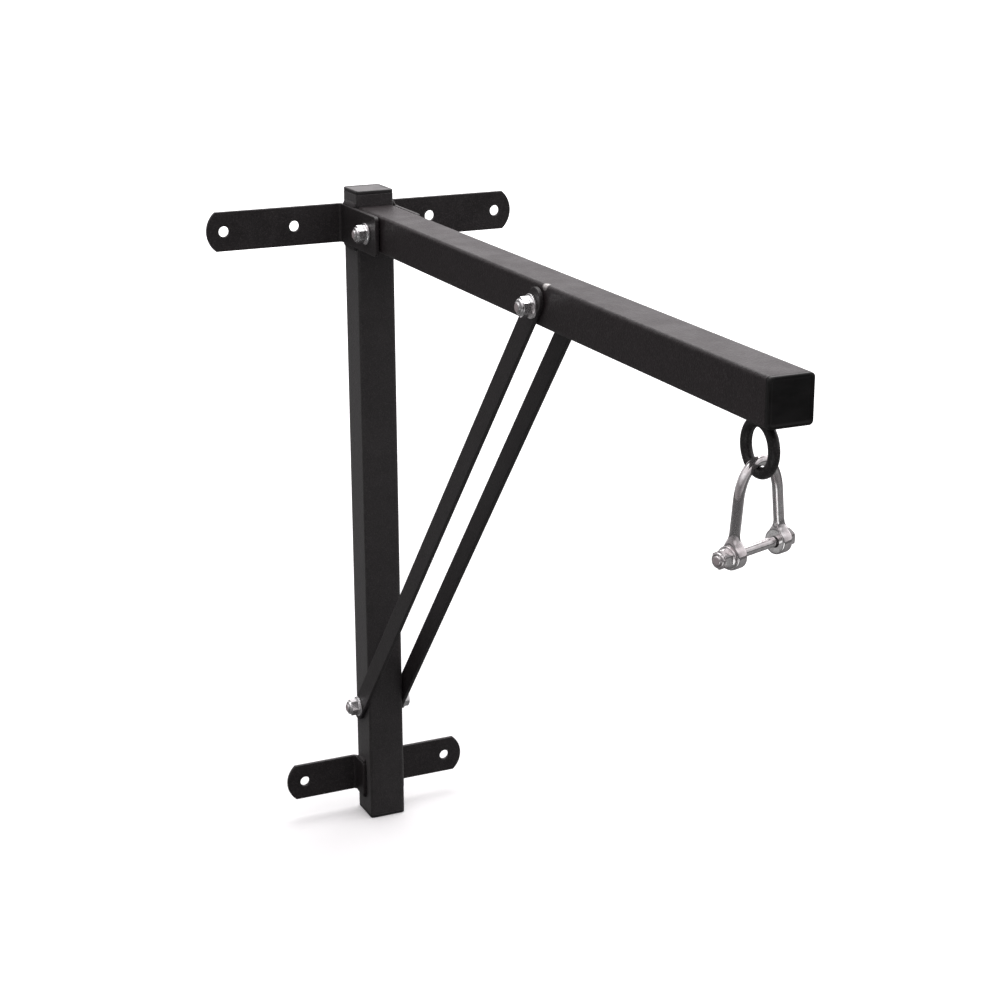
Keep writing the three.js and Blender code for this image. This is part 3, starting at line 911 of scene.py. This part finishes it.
def bow_half_line():
    """Centre line of half the shackle, from the crown at the origin down to the right eye's lowest point."""
    pull, lean = 0.5523, 0.93
    controls = (
        Vector((0, 0)),
        Vector((BOW_SHOULDER.x * pull, 0)),
        Vector((BOW_SHOULDER.x * lean, BOW_SHOULDER.y * (1 - pull))),
        BOW_SHOULDER,
    )
    line = []
    for i in range(36):
        t = i / 36
        weights = ((1 - t) ** 3, 3 * t * (1 - t) ** 2, 3 * t * t * (1 - t), t ** 3)
        line.append(sum((p * w for p, w in zip(controls, weights)), Vector((0, 0))))
    neck = Vector((EYE_HALF, NECK_TOP - BOW_DROP))
    line += [BOW_SHOULDER.lerp(neck, i / 20) for i in range(20)]
    bottom = -BOW_DROP - EYE_RADIUS
    for i in range(29):
        fall = math.sin(math.pi / 2 * i / 28)
        line.append(Vector((EYE_HALF, neck.y + (bottom + 0.02 * MM - neck.y) * fall)))
    return line


def eased(value):
    value = min(1.0, max(0.0, value))
    return value * value * (3 - 2 * value)


def bow_section(z):
    """Half width in the eyes' plane, half thickness, and how square the forging is, at a height."""
    over_pin = z + BOW_DROP

    def below(start, fade):
        """0 above a height over the pin, 1 from a fade lower on."""
        return eased((start - over_pin) / fade)

    rod = BOW_ROD / 2
    width = rod + (NECK_HALF_WIDTH - rod) * below(17 * MM, 11 * MM)
    thickness = rod + (EYE_HALF_LENGTH - rod) * below(16 * MM, 8 * MM)
    square = 2 + 5 * below(13 * MM, 7 * MM)
    if abs(over_pin) < EYE_RADIUS:
        chord = math.sqrt(EYE_RADIUS ** 2 - over_pin ** 2)
        width = max(width, chord) if over_pin > 0 else chord
    short = EYE_SOFT - (over_pin + EYE_RADIUS)
    if short > 0:
        thickness -= EYE_SOFT - math.sqrt(max(0.0, EYE_SOFT ** 2 - short ** 2))
    return width, thickness, square


def bow_row(here, along, steps=44):
    """One loop around the bow: a circle on the rod, squarer towards the eyes."""
    normal = Vector((-along.y, 0, along.x))
    width, thickness, square = bow_section(here.y)
    row = []
    for j in range(steps):
        angle = 2 * math.pi * j / steps
        c, s = math.cos(angle), math.sin(angle)
        across = width * math.copysign(abs(c) ** (2 / square), c)
        out = thickness * math.copysign(abs(s) ** (2 / square), s)
        row.append(Vector((here.x, 0, here.y)) + Vector((0, across, 0)) + normal * out)
    return row


def add_bow():
    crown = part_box("shackle_bow")[1].z - BOW_ROD / 2
    ring_low, ring_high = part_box("hang_ring")
    place = Matrix.Translation((0, (ring_low.y + ring_high.y) / 2, crown)) @ Matrix.Rotation(PIN_TURN, 4, "Z")
    half = bow_half_line()
    line = [Vector((-p.x, p.y)) for p in reversed(half[1:])] + half
    rows = []
    for i, here in enumerate(line):
        before, after = line[max(0, i - 1)], line[min(len(line) - 1, i + 1)]
        along = (after - before).normalized()
        rows.append([(place @ point, 0.0) for point in bow_row(here, along)])
    shape = new_shape()
    loft(shape, rows)
    pin_centre = place @ Vector((0, 0, -BOW_DROP))
    pin_axis = place.to_3x3() @ Vector((1, 0, 0))
    shape = drilled(shape, M8["hole"] * MM, pin_centre, pin_axis)
    piece("shackle_bow_detail", shape, CHROME, SHACKLE, "chrome", ["shackle_bow"], crease=40)


# ------------------------------------------------------------------ studio

def compass_heading(tree, place):
    flat = add_node(tree, "ShaderNodeVectorMath", {0: place, 1: (1, 1, 0)}, operation="MULTIPLY").outputs[0]
    return add_node(tree, "ShaderNodeVectorMath", {0: flat}, operation="NORMALIZE").outputs[0]


def toward(tree, heading, direction):
    """Cosine of the angle between a heading and a direction."""
    values = {0: heading, 1: Vector(direction).normalized()}
    return add_node(tree, "ShaderNodeVectorMath", values, operation="DOT_PRODUCT").outputs["Value"]


def quarters(tree, heading, levels):
    """A smooth mix of one level per quarter of the compass."""
    total = None
    for quarter, level in levels.items():
        near = calculate(tree, "MAXIMUM", toward(tree, heading, QUARTERS[quarter]), 0.0)
        part = calculate(tree, "MULTIPLY", calculate(tree, "POWER", near, 2.0), level)
        total = part if total is None else calculate(tree, "ADD", total, part)
    return total


def ring_of_floor(tree, away, start, full, end, gone):
    """1 between two distances from the frame's origin, fading to 0 nearer and farther."""
    return calculate(tree, "MULTIPLY", remap(tree, away, start, full), remap(tree, away, gone, end))


def sector(tree, heading, direction, outer, inner, level):
    """A level that fades out sideways from a direction."""
    near = toward(tree, heading, direction)
    return remap(tree, near, math.cos(math.radians(outer)), math.cos(math.radians(inner)), 0.0, level)


def floor_glow(tree, place, away):
    """The floor's light: one level per quarter, weaker close by and far out, and two narrow glows."""
    heading = compass_heading(tree, place)
    rise = remap(tree, away, 0.3, 2.0, 0.55, 1.0)
    fall = remap(tree, away, 2.2, 2.6, 1.0, 0.2)
    spread = calculate(tree, "MULTIPLY", rise, fall)
    broad = calculate(tree, "MULTIPLY", quarters(tree, heading, FLOOR_GLOW), spread)
    narrow = calculate(tree, "ADD", sector(tree, heading, *LEFT_GLOW), sector(tree, heading, *FRONT_GLOW))
    narrow = calculate(tree, "MULTIPLY", narrow, ring_of_floor(tree, away, *GLOW_RANGE))
    return calculate(tree, "ADD", broad, narrow)


def floor_finish():
    """Pale and matt to the eye, fading to white with distance, and a dim light to everything else."""
    made, tree, shader = new_material("studio_floor")
    place = object_place(tree)
    away = add_node(tree, "ShaderNodeVectorMath", {0: place}, operation="LENGTH").outputs["Value"]
    pale = mix_colour(tree, cloudy(tree, place, 3.0), rgb(0.925, 0.92, 0.925), rgb(0.945, 0.94, 0.945))
    seen_glow = remap(tree, away, 0.1, 3.5, 0.0, 1.0)
    seen = add_node(tree, "ShaderNodeLightPath").outputs["Is Camera Ray"]
    glow = mix_value(tree, seen, floor_glow(tree, place, away), seen_glow)
    tree.links.new(mix_colour(tree, seen, FLOOR_GREY, pale), shader.inputs["Base Color"])
    tree.links.new(glow, shader.inputs["Emission Strength"])
    shader.inputs["Emission Color"].default_value = rgb(1, 1, 1)
    shader.inputs["Roughness"].default_value = 0.9
    shader.inputs["Specular IOR Level"].default_value = 0.1
    return made


def add_floor():
    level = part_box("post_bottom_cap")[0].z - 0.2 * MM
    shape = bmesh.new()
    bmesh.ops.create_circle(shape, cap_ends=True, segments=96, radius=14)
    shape.transform(Matrix.Translation((0, 0, level)))
    mesh = bpy.data.meshes.new("studio_floor")
    shape.to_mesh(mesh)
    shape.free()
    mesh.materials.append(floor_finish())
    floor = bpy.data.objects.new("studio_floor", mesh)
    bpy.context.scene.collection.objects.link(floor)


def add_world():
    """White all round to the eye. As a light: a low band, brightest behind on the right, and a soft sky."""
    world = bpy.data.worlds.new("studio")
    bpy.context.scene.world = world
    world.use_nodes = True
    tree = world.node_tree
    background = next(n for n in tree.nodes if n.type == "BACKGROUND")
    direction = add_node(tree, "ShaderNodeTexCoord").outputs["Generated"]
    split = add_node(tree, "ShaderNodeSeparateXYZ", {0: direction})
    low = remap(tree, split.outputs["Z"], 0.35, 0.75, 1.0, 0.0)
    band = calculate(tree, "MULTIPLY", quarters(tree, compass_heading(tree, direction), WORLD_BAND), low)
    above = remap(tree, split.outputs["Z"], 0.35, 0.75, 0.0, WORLD_ABOVE)
    front = remap(tree, split.outputs["Y"], -0.15, 0.15, 1.0, 0.0)
    left = remap(tree, split.outputs["X"], -0.45, -0.2, 1.0, 0.0)
    open_sides = calculate(tree, "MAXIMUM", front, left)
    light = calculate(tree, "ADD", band, calculate(tree, "MULTIPLY", above, open_sides))
    seen = add_node(tree, "ShaderNodeLightPath").outputs["Is Camera Ray"]
    background.inputs["Color"].default_value = WORLD_TINT
    tree.links.new(mix_value(tree, seen, light, 1.02), background.inputs["Strength"])


def add_softbox(name, centre, aim, side, power):
    """A square area light turned towards a point."""
    data = bpy.data.lights.new(name, "AREA")
    data.shape = "SQUARE"
    data.size = side
    data.energy = power
    lamp = bpy.data.objects.new(name, data)
    bpy.context.scene.collection.objects.link(lamp)
    lamp.location = centre
    lamp.rotation_mode = "QUATERNION"
    lamp.rotation_quaternion = (Vector(aim) - Vector(centre)).to_track_quat("-Z", "Y")


def add_camera():
    data = bpy.data.cameras.new("camera")
    data.sensor_width = 36
    data.lens = CAMERA_LENS
    data.clip_start = 0.05
    data.clip_end = 60
    camera = bpy.data.objects.new("camera", data)
    bpy.context.scene.collection.objects.link(camera)
    heading = Matrix.Rotation(math.radians(CAMERA_HEADING), 4, "Z")
    tilt = Matrix.Rotation(math.radians(90 - CAMERA_DIP), 4, "X")
    roll = Matrix.Rotation(math.radians(CAMERA_ROLL), 4, "Z")
    camera.matrix_world = Matrix.Translation(CAMERA_PLACE) @ heading @ tilt @ roll
    bpy.context.scene.camera = camera


def add_studio():
    add_floor()
    add_world()
    add_softbox("overhead", **OVERHEAD)
    add_camera()
    view = bpy.context.scene.view_settings
    view.view_transform = "Standard"
    view.look = "None"


add_tubes()
for level in ("upper", "lower"):
    for hand in SIDES:
        add_plate(level, hand)
for hand in SIDES:
    add_strut(hand)
add_plate_welds()
add_ring_welds()
add_bolts()
add_ring()
add_bow()
add_studio()
